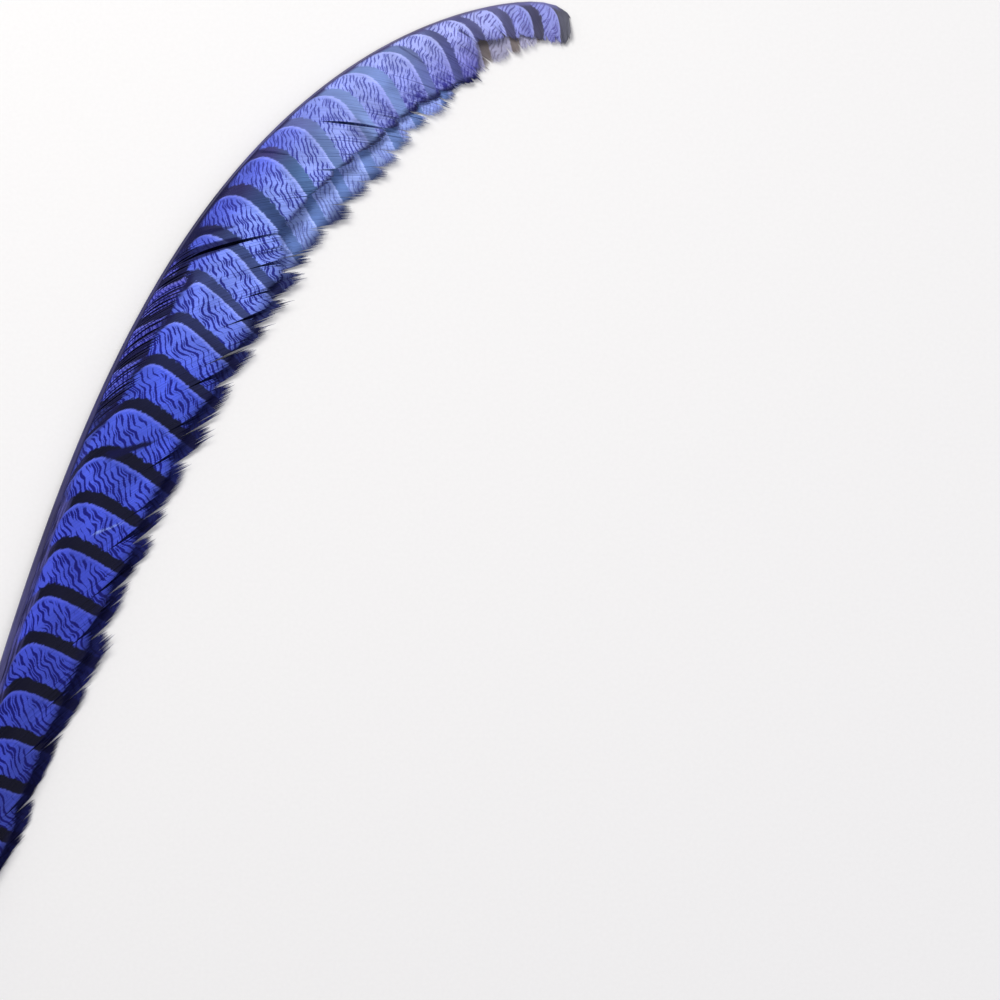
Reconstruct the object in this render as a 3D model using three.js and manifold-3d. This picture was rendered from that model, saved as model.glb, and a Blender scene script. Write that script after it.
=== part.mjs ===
// A pheasant's tail feather, dyed blue, lying on its side on a table.
//
// The feather is vaulted: its two vanes meet at the shaft like the slopes of a roof. Laid down, the far
// vane rests flat on the table and the near vane arches up over it from the shaft, which runs along the
// outside of the feather's long sickle curve. Everything grew as one piece: the quill and shaft, both
// vanes with the locks that their edges part into, and the down at the foot of the vanes.
//
// Millimetres. +Z is up, +Y runs along the feather from the quill, and the tip sweeps over towards +X.
// The origin is on the table, under the middle of the feather's bounding box.

import * as THREE from 'three';
import { mergeVertices } from 'three/addons/utils/BufferGeometryUtils.js';
import Module from 'manifold-3d';

const wasm = await Module();
wasm.setup();

// --- Driving dimensions -------------------------------------------------------------------------

const featherLength = 562; // along the shaft, from the quill's end to the tip
const quillEnd = { x: -136.165, y: -223.461 }; // where the quill ends, from the middle of the box

// The shaft leaves the quill at firstHeading (degrees from +X) and turns ever faster towards the tip.
const firstHeading = 74.5;
const sweep = { turn: 78, power: 3.7 }; // the long bend of the whole feather
const droop = { turn: 60, power: 83 }; // the last few millimetres, curled over at the tip

// Each list of pairs gives a station along the shaft, then the size there.
const shaftRadius = [
  [0, 0.5], [3, 1.3], [14, 2.1], [60, 2.4], [200, 2.1], [290, 1.6], [360, 1.1], [460, 0.75], [562, 0.35],
];
const barbAngle = [[80, 30], [300, 36], [366, 38], [460, 41], [505, 48], [548, 66]]; // degrees off the shaft

// Widths are measured square to the shaft's outer side, as the feather lies.
const nearVane = {
  from: 84,
  to: 561,
  width: [
    [84, 9], [112, 18], [150, 24.5], [230, 31], [262, 35.5], [309, 38], [342, 40], [374, 42], [392, 40],
    [409, 29.5], [463, 29.5], [490, 26.5], [518, 25.5], [522, 12.5], [535, 13.5], [550, 14.5],
  ],
  foldAngle: [[80, 55], [200, 66], [430, 64], [548, 38]], // how steeply it leaves the shaft, degrees
  foldReach: 0.42, // the arc of the fold ends at this share of fullWidth, and the vane is straight beyond it
  edgeAngle: [[80, -12], [480, -14], [545, -4]], // the slope past the fold, degrees
  splits: [[365, 1], [435, 3]], // the station and the first open row of each place where it has parted
};
const farVane = {
  from: 84,
  to: 557,
  width: [
    [84, 10], [112, 20], [150, 28], [230, 37], [300, 43], [342, 46], [376, 46], [420, 43], [452, 42],
    [490, 34], [519, 24], [536, 20.5], [550, 15],
  ],
  flatShare: 0.62, // this share of fullWidth lies on the table
  curl: 3, // how far the edge lifts off the table
  splits: [[300, 4], [453, 5]],
};
const fullWidth = [[84, 22], [200, 36], [340, 46], [440, 43], [500, 32], [556, 16]]; // scales both sections
const vaneRoot = { across: 1.2, up: 1.7 }; // where a vane leaves the shaft, in shaft radii
const tipRound = { length: 12, beyond: 2.5 }; // both vanes round off over length and end beyond the shaft
const bladeThickness = { root: 0.9, edge: 0.5 };
const barbStep = 0.25; // how finely a barb is followed out to the vane's edge

const locksPerVane = 30;
const lockCrowding = 0.8; // below 1, the locks are narrower towards the feather's tip
const lockStray = 0.25; // how far a boundary between locks strays, as a share of a lock
const rowsPerLock = 9; // steps along a lock, from the shaft to its tip
const rowGrowth = 1.15; // above 1, the rows are longer towards the vane's edge
const splitRow = 7; // locks of one vane hang together up to this row
const lockGap = 1.8; // opening between two lock tips, along the shaft
const gapVariety = 0.5; // how much the openings differ
const tear = { middle: 0.9, base: 0.5 }; // how wide a deep split is halfway and all along, in lock gaps
const lockPoint = 0.06; // how far a lock's point reaches past its corners, as a share of its length

const down = {
  from: 44, to: 104, tufts: 16, length: 26,
  rootRadius: 1, fullRadius: 2.2, tipRadius: 0.4,
  lengthVariety: 0.15,
  outerShare: 0.7, // tufts on the outside of the bend are shorter
  rise: { raised: 6, low: 1 }, // how far the tips rise, two tufts of each in turn
  rootShare: 0.8, // the root's height, in shaft radii
  rootLift: 1.1, // the same in millimetres, which holds a tuft's girth off the table
  lean: 0.35, // along the shaft, as a share of the length
  sweep: 0.5, // further along the shaft at the tip
  spread: 0.62, // away from the shaft
  crest: 1.6, // a tuft rises most at half this share of its length
  flatness: { across: 0.3, up: 0.8 }, // of a tuft's round section
};

// --- The shaft's line ---------------------------------------------------------------------------

const degrees = Math.PI / 180;

// The value of a list of [station, size] pairs at a station, eased between its points.
function sizeAt(pairs, station) {
  if (station <= pairs[0][0]) return pairs[0][1];
  for (let i = 1; i < pairs.length; i++) {
    const [low, lowSize] = pairs[i - 1];
    const [high, highSize] = pairs[i];
    if (station < high) {
      return THREE.MathUtils.lerp(lowSize, highSize, THREE.MathUtils.smoothstep(station, low, high));
    }
  }
  return pairs.at(-1)[1];
}

function heading(station, drooping = true) {
  const share = Math.min(station / featherLength, 1);
  const bend = sweep.turn * share ** sweep.power;
  const curlOver = drooping ? droop.turn * share ** droop.power : 0;
  return (firstHeading - bend - curlOver) * degrees;
}

// One point of the shaft's line for each millimetre.
const shaftLine = [new THREE.Vector2(quillEnd.x, quillEnd.y)];
for (let station = 0.5; station < featherLength + 8; station++) {
  const turn = heading(station);
  shaftLine.push(shaftLine.at(-1).clone().add(new THREE.Vector2(Math.cos(turn), Math.sin(turn))));
}

// A point of the feather: a station along the shaft's outer side, a distance across from there towards the
// inside of the bend, and a height above the table. The directions across don't follow the tip's droop, so
// they never cross.
function place(station, across, height) {
  const whole = THREE.MathUtils.clamp(Math.floor(station), 0, shaftLine.length - 2);
  const spot = shaftLine[whole].clone().lerp(shaftLine[whole + 1], station - whole);
  const turn = heading(station, false);
  return new THREE.Vector3(spot.x + across * Math.sin(turn), spot.y - across * Math.cos(turn), height);
}

// --- The vanes' cross sections ------------------------------------------------------------------
// Each gives { across, height, slope } at a distance from the shaft measured along the vane itself.

function nearSection(station, distance) {
  const radius = sizeAt(shaftRadius, station);
  const rootAngle = sizeAt(nearVane.foldAngle, station) * degrees;
  const edgeAngle = sizeAt(nearVane.edgeAngle, station) * degrees;
  const foldLength = nearVane.foldReach * sizeAt(fullWidth, station);
  const foldRadius = foldLength / (rootAngle - edgeAngle);
  const along = Math.min(distance, foldLength);
  const beyond = distance - along;
  const slope = rootAngle - along / foldRadius;
  const foldAcross = foldRadius * (Math.sin(rootAngle) - Math.sin(slope));
  const foldRise = foldRadius * (Math.cos(slope) - Math.cos(rootAngle));
  return {
    across: vaneRoot.across * radius + foldAcross + beyond * Math.cos(edgeAngle),
    height: vaneRoot.up * radius + foldRise + beyond * Math.sin(edgeAngle),
    slope,
  };
}

function farSection(station, distance, thickness = bladeThickness.root) {
  const radius = sizeAt(shaftRadius, station);
  const flatWidth = farVane.flatShare * sizeAt(fullWidth, station);
  const curledWidth = sizeAt(fullWidth, station) - flatWidth;
  const past = Math.max(distance - flatWidth, 0) / curledWidth;
  return {
    across: vaneRoot.across * radius + distance,
    height: thickness / 2 + farVane.curl * past * past,
    slope: Math.atan((2 * farVane.curl * past) / curledWidth),
  };
}

// How wide a vane is at a station, rounded off at the tip.
function vaneWidth(vane, station) {
  const end = featherLength + tipRound.beyond;
  const intoTip = THREE.MathUtils.clamp(1 - (end - station) / tipRound.length, 0, 1);
  return sizeAt(vane.width, station) * Math.sqrt(1 - intoTip * intoTip);
}

// Where a barb has got to at a distance along the vane: it keeps the angle at which it grew.
const barbStation = (root, distance) => root + distance / Math.tan(sizeAt(barbAngle, root) * degrees);

// The distance from the shaft at which a barb that grows at a station meets the vane's edge.
function barbReach(vane, section, root) {
  let distance = barbStep;
  while (section(root, distance).across < vaneWidth(vane, barbStation(root, distance))) distance += barbStep;
  return distance;
}

// A steady irregularity from -1 to 1, for things that are never quite alike.
const uneven = (i) => Math.sin(2.4 * i) * Math.cos(0.9 * i);

// --- Solids -------------------------------------------------------------------------------------

// A closed three.js geometry as a manifold-3d solid, turned the right way out.
function solidFrom(geometry) {
  const bare = new THREE.BufferGeometry().setAttribute('position', geometry.getAttribute('position'));
  bare.setIndex(geometry.index);
  const merged = mergeVertices(bare, 1e-4);
  const corners = [...merged.index.array];
  const triVerts = [];
  for (let i = 0; i < corners.length; i += 3) {
    const [a, b, c] = corners.slice(i, i + 3);
    if (a !== b && b !== c && c !== a) triVerts.push(a, b, c);
  }
  const build = (order) => new wasm.Manifold(new wasm.Mesh({
    numProp: 3,
    vertProperties: merged.attributes.position.array,
    triVerts: new Uint32Array(order),
  }));
  const solid = build(triVerts);
  return solid.volume() > 0 ? solid : build(triVerts.reverse());
}

// Moves every vertex of a geometry to where a function of its x, y and z says.
function reshape(geometry, move) {
  const position = geometry.getAttribute('position');
  const at = new THREE.Vector3();
  for (let i = 0; i < position.count; i++) {
    at.copy(move(at.fromBufferAttribute(position, i)));
    position.setXYZ(i, at.x, at.y, at.z);
  }
  return geometry;
}

// The quill and shaft: a tapering rod, turned straight along Y and then bent along the shaft's line.
function makeShaft() {
  const profile = [new THREE.Vector2(0, 0)];
  const stations = [0, 1, 3, 7, 14, 30, 60];
  for (let station = 76; station < 520; station += 12) stations.push(station);
  for (let station = 520; station <= featherLength; station += 5) stations.push(station);
  for (const station of stations) profile.push(new THREE.Vector2(sizeAt(shaftRadius, station), station));
  profile.push(new THREE.Vector2(0, featherLength));
  const rod = new THREE.LatheGeometry(profile, 10);
  return solidFrom(reshape(rod, ({ x, y, z }) => {
    const radius = sizeAt(shaftRadius, y);
    return place(y, x + radius, z + radius);
  }));
}

// One vane: a closed blade whose columns run along the barbs. Neighbouring locks share a column near the
// shaft, and past the split each has its own, so that a notch opens between their tips.
function makeVane(vane, section) {
  const surface = [];
  const faces = [];
  const rootOf = (lock) => {
    const share = THREE.MathUtils.clamp((lock + lockStray * uneven(lock)) / locksPerVane, 0, 1);
    return THREE.MathUtils.lerp(vane.from, vane.to, share ** lockCrowding);
  };
  const roots = Array.from({ length: locksPerVane + 1 }, (_, lock) => rootOf(lock));
  const splitAt = roots.map(() => splitRow);
  for (const [station, row] of vane.splits) {
    const nearest = roots.reduce((best, root, i) => (
      Math.abs(root - station) < Math.abs(roots[best] - station) ? i : best
    ), 0);
    roots[nearest] = station;
    splitAt[nearest] = row;
  }

  // A vertex of the blade, as its lower and upper points, kept by name so that neighbours share it.
  const known = new Map();
  function vertex(column, row, side) {
    const boundary = column % 2 === 0;
    const parted = boundary ? Math.max(row - splitAt[column / 2], 0) : 0;
    const name = `${column}/${row}/${parted > 0 ? side : 0}`;
    if (!known.has(name)) {
      const left = Math.floor(column / 2);
      const root = boundary ? roots[left] : (roots[left] + roots[left + 1]) / 2;
      const deep = boundary && splitAt[left] < splitRow;
      const opening = parted / (rowsPerLock - (boundary ? splitAt[left] : 0));
      const torn = tear.middle * Math.sin(Math.PI * opening) + tear.base;
      const notched = opening * (1 + gapVariety * uneven(left));
      const gap = lockGap * (deep ? torn : notched);
      const share = (row / rowsPerLock) ** rowGrowth;
      const pointed = share * (boundary ? 1 - lockPoint * share ** 3 : 1);
      const distance = pointed * barbReach(vane, section, root);
      const own = parted > 0 ? (side * gap) / 2 : 0;
      const station = Math.min(barbStation(root, distance) + own, featherLength + 4);
      const thickness = THREE.MathUtils.lerp(bladeThickness.root, bladeThickness.edge, share);
      const spot = section(station, distance, thickness);
      const half = thickness / 2;
      const point = (up) => place(
        station,
        spot.across - up * half * Math.sin(spot.slope),
        spot.height + up * half * Math.cos(spot.slope),
      );
      known.set(name, surface.length);
      surface.push([point(-1), point(1)]);
    }
    return known.get(name);
  }

  for (let column = 0; column < 2 * locksPerVane; column++) {
    for (let row = 0; row < rowsPerLock; row++) {
      const a = vertex(column, row, 1);
      const b = vertex(column + 1, row, -1);
      const c = vertex(column + 1, row + 1, -1);
      const d = vertex(column, row + 1, 1);
      faces.push([a, b, c], [a, c, d]);
    }
  }

  // Both skins, and a wall along every edge that only one face uses.
  const positions = surface.flat().flatMap((point) => point.toArray());
  const index = [];
  const walls = new Map();
  for (const [a, b, c] of faces) {
    index.push(2 * a + 1, 2 * b + 1, 2 * c + 1, 2 * a, 2 * c, 2 * b);
    for (const [from, to] of [[a, b], [b, c], [c, a]]) {
      if (!walls.delete(`${to}/${from}`)) walls.set(`${from}/${to}`, [from, to]);
    }
  }
  for (const [from, to] of walls.values()) {
    index.push(2 * from, 2 * to, 2 * to + 1, 2 * from, 2 * to + 1, 2 * from + 1);
  }
  const blade = new THREE.BufferGeometry();
  blade.setAttribute('position', new THREE.Float32BufferAttribute(positions, 3));
  blade.setIndex(index);
  return solidFrom(blade);
}

// The down at the foot of the vanes: soft tufts, fullest halfway, some low along the table and some raised.
function makeDown() {
  const tufts = [];
  for (let i = 0; i < down.tufts; i++) {
    const root = THREE.MathUtils.lerp(down.from, down.to, i / (down.tufts - 1));
    const side = i % 2 ? 1 : -1; // towards the inside of the bend, or away from it
    const variety = 1 - down.lengthVariety + down.lengthVariety * uneven(i);
    const reach = down.length * variety * (side > 0 ? 1 : down.outerShare);
    const rise = i % 4 < 2 ? down.rise.raised : down.rise.low;
    const base = down.rootShare * sizeAt(shaftRadius, root) + down.rootLift;
    const tuft = new THREE.CylinderGeometry(1, 1, 1, 6, 5);
    tufts.push(solidFrom(reshape(tuft, ({ x, y, z }) => {
      const share = y + 0.5;
      const bare = THREE.MathUtils.lerp(down.rootRadius, down.tipRadius, share);
      const girth = bare + (down.fullRadius - bare) * Math.sin(Math.PI * share);
      const along = reach * (down.lean * share + down.sweep * share * share);
      const across = side * reach * down.spread * share;
      const height = base + rise * share * (down.crest - share);
      return place(
        root + along + x * girth,
        across + x * girth * down.flatness.across,
        height + z * girth * down.flatness.up,
      );
    })));
  }
  return tufts;
}

// --- The feather --------------------------------------------------------------------------------

const grown = wasm.Manifold.union([
  makeShaft(),
  makeVane(nearVane, nearSection),
  makeVane(farVane, farSection),
  ...makeDown(),
]);

const made = grown.getMesh();
const geometry = new THREE.BufferGeometry();
geometry.setAttribute('position', new THREE.BufferAttribute(new Float32Array(made.vertProperties), 3));
geometry.setIndex(new THREE.BufferAttribute(new Uint32Array(made.triVerts), 1));
geometry.computeVertexNormals();

const dyedVane = new THREE.MeshStandardMaterial({ color: 0x4358cf, roughness: 0.6, metalness: 0 });

const feather = new THREE.Mesh(geometry, dyedVane);
feather.name = 'feather';

const group = new THREE.Group();
group.add(feather);

export default group;
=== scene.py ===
# A pheasant's tail feather, dyed blue between its near-black bars, lying on its side on a pale floor.
# Lengths in the settings are millimetres, and stations run along the shaft from the end of the quill.

import math
from functools import partial

import bpy
import bmesh
import numpy as np
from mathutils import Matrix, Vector


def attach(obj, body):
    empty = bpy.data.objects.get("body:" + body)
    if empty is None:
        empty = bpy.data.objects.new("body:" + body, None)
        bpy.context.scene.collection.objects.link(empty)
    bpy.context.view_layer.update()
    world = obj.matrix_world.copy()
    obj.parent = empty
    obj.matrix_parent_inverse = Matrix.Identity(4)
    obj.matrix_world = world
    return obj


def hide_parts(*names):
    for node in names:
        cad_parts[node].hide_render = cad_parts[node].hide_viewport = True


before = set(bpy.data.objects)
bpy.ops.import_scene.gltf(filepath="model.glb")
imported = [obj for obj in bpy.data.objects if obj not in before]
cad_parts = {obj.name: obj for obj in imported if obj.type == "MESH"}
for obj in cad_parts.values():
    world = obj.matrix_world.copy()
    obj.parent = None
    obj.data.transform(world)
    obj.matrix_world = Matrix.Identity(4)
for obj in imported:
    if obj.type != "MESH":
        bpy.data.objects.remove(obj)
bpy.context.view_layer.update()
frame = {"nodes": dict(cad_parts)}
millimetre = 0.001
chance = np.random.default_rng(41)
print("frame loaded:", ", ".join(frame["nodes"]))

# the feather's line and widths, in the same numbers as its solid
feather = {
    "length": 562.0,
    "quillEnd": (-136.165, -223.461),
    "firstHeading": 74.5,  # degrees from +X
    "sweep": (78.0, 3.7),  # turn and power of the long bend
    "droop": (60.0, 83.0),  # turn and power of the curl at the tip
    "shaftRadius": [
        (0, 0.5), (3, 1.3), (14, 2.1), (60, 2.4), (200, 2.1), (290, 1.6), (360, 1.1), (460, 0.75),
        (562, 0.35)],
    "barbAngle": [(80, 30), (300, 36), (366, 38), (460, 41), (505, 48), (548, 66)],  # degrees off the shaft
    "fullWidth": [(84, 22), (200, 36), (340, 46), (440, 43), (500, 32), (556, 16)],  # scales both sections
    "vaneRoot": (1.2, 1.7),  # where a vane leaves the shaft, across and up, in shaft radii
    "tipRound": (12.0, 2.5),  # length of the rounded end, and its reach past the shaft
    "barbStep": 0.25,  # how finely a barb is followed to the edge
    "longestBarb": 70.0,
}


def sizeAt(pairs, station):
    # eased from each listed station to the next
    places, sizes = np.array(pairs, float).T
    upper = np.clip(np.searchsorted(places, station, side="right"), 1, len(places) - 1)
    share = np.clip((station - places[upper - 1]) / (places[upper] - places[upper - 1]), 0, 1)
    return sizes[upper - 1] + (sizes[upper] - sizes[upper - 1]) * share * share * (3 - 2 * share)


def ease(low, high, value):
    share = np.clip((value - low) / (high - low), 0, 1)
    return share * share * (3 - 2 * share)


def during(start, full, fading, gone, value):
    # rises from start to full and falls again from fading to gone
    return ease(start, full, value) * (1 - ease(fading, gone, value))


def heading(station, drooping=True):
    share = np.minimum(np.asarray(station, float) / feather["length"], 1)
    turn, power = feather["sweep"]
    bend = turn * share ** power
    if drooping:
        turn, power = feather["droop"]
        bend = bend + turn * share ** power
    return np.radians(feather["firstHeading"] - bend)


lineStations = np.arange(0, 601.0)  # on past the tip
lineTurns = heading(lineStations[:-1] + 0.5)
lineX = feather["quillEnd"][0] + np.concatenate([[0], np.cumsum(np.cos(lineTurns))])
lineY = feather["quillEnd"][1] + np.concatenate([[0], np.cumsum(np.sin(lineTurns))])


def place(station, across, height):
    # a station, a distance in from the shaft's outer side, and a height, as a point in metres
    turn = heading(station, drooping=False)
    x = np.interp(station, lineStations, lineX) + across * np.sin(turn)
    y = np.interp(station, lineStations, lineY) - across * np.cos(turn)
    return np.stack(np.broadcast_arrays(x, y, height), axis=-1) * millimetre


def uneven(number):
    # a steady irregularity from -1 to 1
    return np.sin(2.4 * number) * np.cos(0.9 * number)


# camera, floor and light
view = {
    "middle": (109.465, 34.369),  # what the camera looks straight down at
    "across": 380.0,  # width of the view on the floor
    "distance": 1700.0,
    "floorSize": 4000.0,
}


def makeCamera():
    data = bpy.data.cameras.new("camera")
    data.sensor_width = 36.0
    data.lens = data.sensor_width * view["distance"] / view["across"]
    data.clip_end = 20
    camera = bpy.data.objects.new("camera", data)
    camera.location = (view["middle"][0] * millimetre, view["middle"][1] * millimetre,
                       view["distance"] * millimetre)
    bpy.context.collection.objects.link(camera)
    bpy.context.scene.camera = camera


def linear(hexColour):
    # sRGB hex to the linear values that shaders take
    channels = [int(hexColour[i:i + 2], 16) / 255 for i in (1, 3, 5)]
    return [c / 12.92 if c <= 0.04045 else ((c + 0.055) / 1.055) ** 2.4 for c in channels] + [1.0]


def addNode(tree, kind, *values, stops=None, **settings):
    # makes a shader node, fills its open inputs in order or by name, and gives its first open output
    made = tree.nodes.new("ShaderNode" + kind)
    for name, value in settings.items():
        setattr(made, name, value)
    openInputs = [socket for socket in made.inputs if socket.enabled]
    for i, value in enumerate(values):
        named = isinstance(value, tuple)
        socket = made.inputs[value[0]] if named else openInputs[i]
        value = value[1] if named else value
        if isinstance(value, bpy.types.NodeSocket):
            tree.links.new(value, socket)
        else:
            socket.default_value = value
    if stops:
        elements = made.color_ramp.elements
        while len(elements) < len(stops):
            elements.new(0.5)
        for element, (position, hexColour) in zip(elements, stops):
            element.position = position
            element.color = linear(hexColour)
    return next(socket for socket in made.outputs if socket.enabled)


def newMaterial(name):
    material = bpy.data.materials.new(name)
    material.use_nodes = True
    tree = material.node_tree
    return material, tree, tree.nodes["Principled BSDF"]


makeCamera()


def makeStage():
    material, tree, surface = newMaterial("matt white board")  # calendered card: even, with no sheen
    spot = addNode(tree, "TexCoord").node.outputs["Object"]
    grain = addNode(tree, "TexNoise", ("Vector", spot), ("Scale", 700.0), ("Detail", 3.0))  # fibres of 1.4 mm
    tint = addNode(tree, "ValToRGB", grain, stops=[(0.3, "#f6f5f3"), (0.7, "#f8f7f5")])
    tree.links.new(tint, surface.inputs["Base Color"])
    surface.inputs["Roughness"].default_value = 0.9
    surface.inputs["Specular IOR Level"].default_value = 0.1
    form = bmesh.new()
    bmesh.ops.create_grid(form, x_segments=1, y_segments=1, size=view["floorSize"] / 2 * millimetre)
    mesh = bpy.data.meshes.new("floor")
    form.to_mesh(mesh)
    form.free()
    mesh.materials.append(material)
    floor = bpy.data.objects.new("floor", mesh)
    bpy.context.collection.objects.link(floor)


light = {
    "sky": ("#fbfaff", 0.38),
    "key": {"place": (-460, 960, 1300), "size": 620.0, "watts": 17.8, "colour": "#fefdfb"},
    "fill": {"place": (900, -500, 1100), "size": 1200.0, "watts": 6.0, "colour": "#f4f6ff"},
}


def makeLight():
    scene = bpy.context.scene
    scene.view_settings.view_transform = "Standard"
    sky = bpy.data.worlds.new("soft sky")
    sky.use_nodes = True
    colour, strength = light["sky"]
    sky.node_tree.nodes["Background"].inputs["Color"].default_value = linear(colour)
    sky.node_tree.nodes["Background"].inputs["Strength"].default_value = strength
    scene.world = sky
    aim = Vector((*view["middle"], 0)) * millimetre
    for name in ("key", "fill"):
        lamp = light[name]
        data = bpy.data.lights.new(name, "AREA")
        data.size = lamp["size"] * millimetre
        data.energy = lamp["watts"]
        data.color = linear(lamp["colour"])[:3]
        softbox = bpy.data.objects.new(name, data)
        softbox.location = Vector(lamp["place"]) * millimetre
        softbox.rotation_euler = (softbox.location - aim).to_track_quat("Z", "Y").to_euler()
        bpy.context.collection.objects.link(softbox)


makeStage()
makeLight()
print("camera, floor and light made")

# where the bars cross the vanes: both share the first ones
firstBars = [66, 85.5, 104.5, 123.5, 142.5, 161.5, 180.5, 199.5, 218.3, 237.1, 256.5, 275.5, 294.5, 315.5,
             334.7, 353.3]

# how the two vanes lie
nearVane = {
    "from": 84, "to": 561,
    "width": [
        (84, 9), (112, 18), (150, 24.5), (230, 31), (262, 35.5), (309, 38), (342, 40), (374, 42), (392, 40),
        (409, 29.5), (463, 29.5), (490, 26.5), (518, 25.5), (522, 12.5), (535, 13.5), (550, 14.5)],
    "foldAngle": [(80, 55), (200, 66), (430, 64), (548, 38)],  # how steeply it leaves the shaft
    "foldReach": 0.42,  # the fold's share of fullWidth: the vane is straight beyond it
    "edgeAngle": [(80, -12), (480, -14), (545, -4)],  # the slope past the fold
    "splits": [(365, 1, 1.0), (435, 4.1, 0.75)],  # station, the row it opens from, its width in lock gaps
    "barStations": firstBars + [371.3, 389.5, 409.5, 428.8, 445, 463.8, 479.8, 495.5, 509, 523, 536, 547.5,
                                560.5, 564],
}
farVane = {
    "from": 84, "to": 557,
    "width": [
        (84, 10), (112, 20), (150, 28), (230, 37), (300, 43), (342, 46), (376, 46), (420, 43), (452, 42),
        (490, 34), (519, 24), (536, 20.5), (550, 15)],
    "flatShare": 0.62,  # this share of fullWidth lies flat
    "lift": 0.22,  # of the flat part off the floor
    "curl": 3.0,  # how far the edge rises
    "splits": [(300, 4, 1.0), (453, 5, 1.0)],
    "barStations": firstBars + [372, 391, 409, 425.3, 441, 457.2, 472.3, 485, 500, 511.5, 523.5, 537, 548.5,
                                560.5, 564],
}
locks = {
    "perVane": 30,
    "crowding": 0.8,  # narrower towards the tip
    "stray": 0.25,
    "rows": 9,  # which splitRow and the splits count in
    "rowGrowth": 1.15,
    "splitRow": 7,  # locks hang together up to this row
    "gap": 1.8,
    "gapVariety": 0.5,
    "tear": (0.9, 0.5, 4),  # a deep split's width halfway and all along, and how soon
    "point": 0.06,  # how far a lock's middle reaches past its corners
}


def nearSection(station, distance):
    # the near vane's arch: how far across, how high and how steep it is at a distance along it
    radius = sizeAt(feather["shaftRadius"], station)
    rootAcross, rootUp = feather["vaneRoot"]
    rootAngle = np.radians(sizeAt(nearVane["foldAngle"], station))
    edgeAngle = np.radians(sizeAt(nearVane["edgeAngle"], station))
    foldLength = nearVane["foldReach"] * sizeAt(feather["fullWidth"], station)
    foldRadius = foldLength / (rootAngle - edgeAngle)
    along = np.minimum(distance, foldLength)
    beyond = distance - along
    slope = rootAngle - along / foldRadius
    foldAcross = foldRadius * (np.sin(rootAngle) - np.sin(slope))
    foldRise = foldRadius * (np.cos(slope) - np.cos(rootAngle))
    across = rootAcross * radius + foldAcross + beyond * np.cos(edgeAngle)
    height = rootUp * radius + foldRise + beyond * np.sin(edgeAngle)
    return across, height, slope


def farSection(station, distance):
    # the far vane lies flat and curls up a little at its edge
    radius = sizeAt(feather["shaftRadius"], station)
    flatWidth = farVane["flatShare"] * sizeAt(feather["fullWidth"], station)
    curledWidth = sizeAt(feather["fullWidth"], station) - flatWidth
    past = np.maximum(distance - flatWidth, 0) / curledWidth
    across = feather["vaneRoot"][0] * radius + distance
    height = farVane["lift"] + farVane["curl"] * past * past
    slope = np.arctan(2 * farVane["curl"] * past / curledWidth)
    return across, height, slope


def barbAngle(root):
    return np.radians(sizeAt(feather["barbAngle"], root))


def barbReach(vane, section, roots):
    # the distance along the vane at which each barb meets its edge
    step = feather["barbStep"]
    distances = np.arange(step, feather["longestBarb"], step)
    stations = roots[:, None] + distances / np.tan(barbAngle(roots))[:, None]
    length, beyond = feather["tipRound"]
    intoTip = np.clip(1 - (feather["length"] + beyond - stations) / length, 0, 1)
    width = sizeAt(vane["width"], stations) * np.sqrt(1 - intoTip ** 2)
    outside = section(roots[:, None], distances)[0] >= width
    return distances[np.argmax(outside, axis=1)]


def lockEdges(vane):
    # where the locks part, how far out each parting starts, how wide it opens, and how wide a tear is
    numbers = np.arange(locks["perVane"] + 1)
    share = np.clip((numbers + locks["stray"] * uneven(numbers)) / locks["perVane"], 0, 1)
    share = share ** locks["crowding"]
    edges = vane["from"] + (vane["to"] - vane["from"]) * share
    starts = np.full(len(edges), (locks["splitRow"] / locks["rows"]) ** locks["rowGrowth"])
    torn = np.zeros(len(edges))
    for station, row, width in vane["splits"]:
        nearest = np.argmin(np.abs(edges - station))
        edges[nearest] = station
        starts[nearest] = (row / locks["rows"]) ** locks["rowGrowth"]
        torn[nearest] = width * locks["gap"]
    gaps = locks["gap"] * (1 + locks["gapVariety"] * uneven(numbers))
    return edges, starts, gaps, torn



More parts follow.
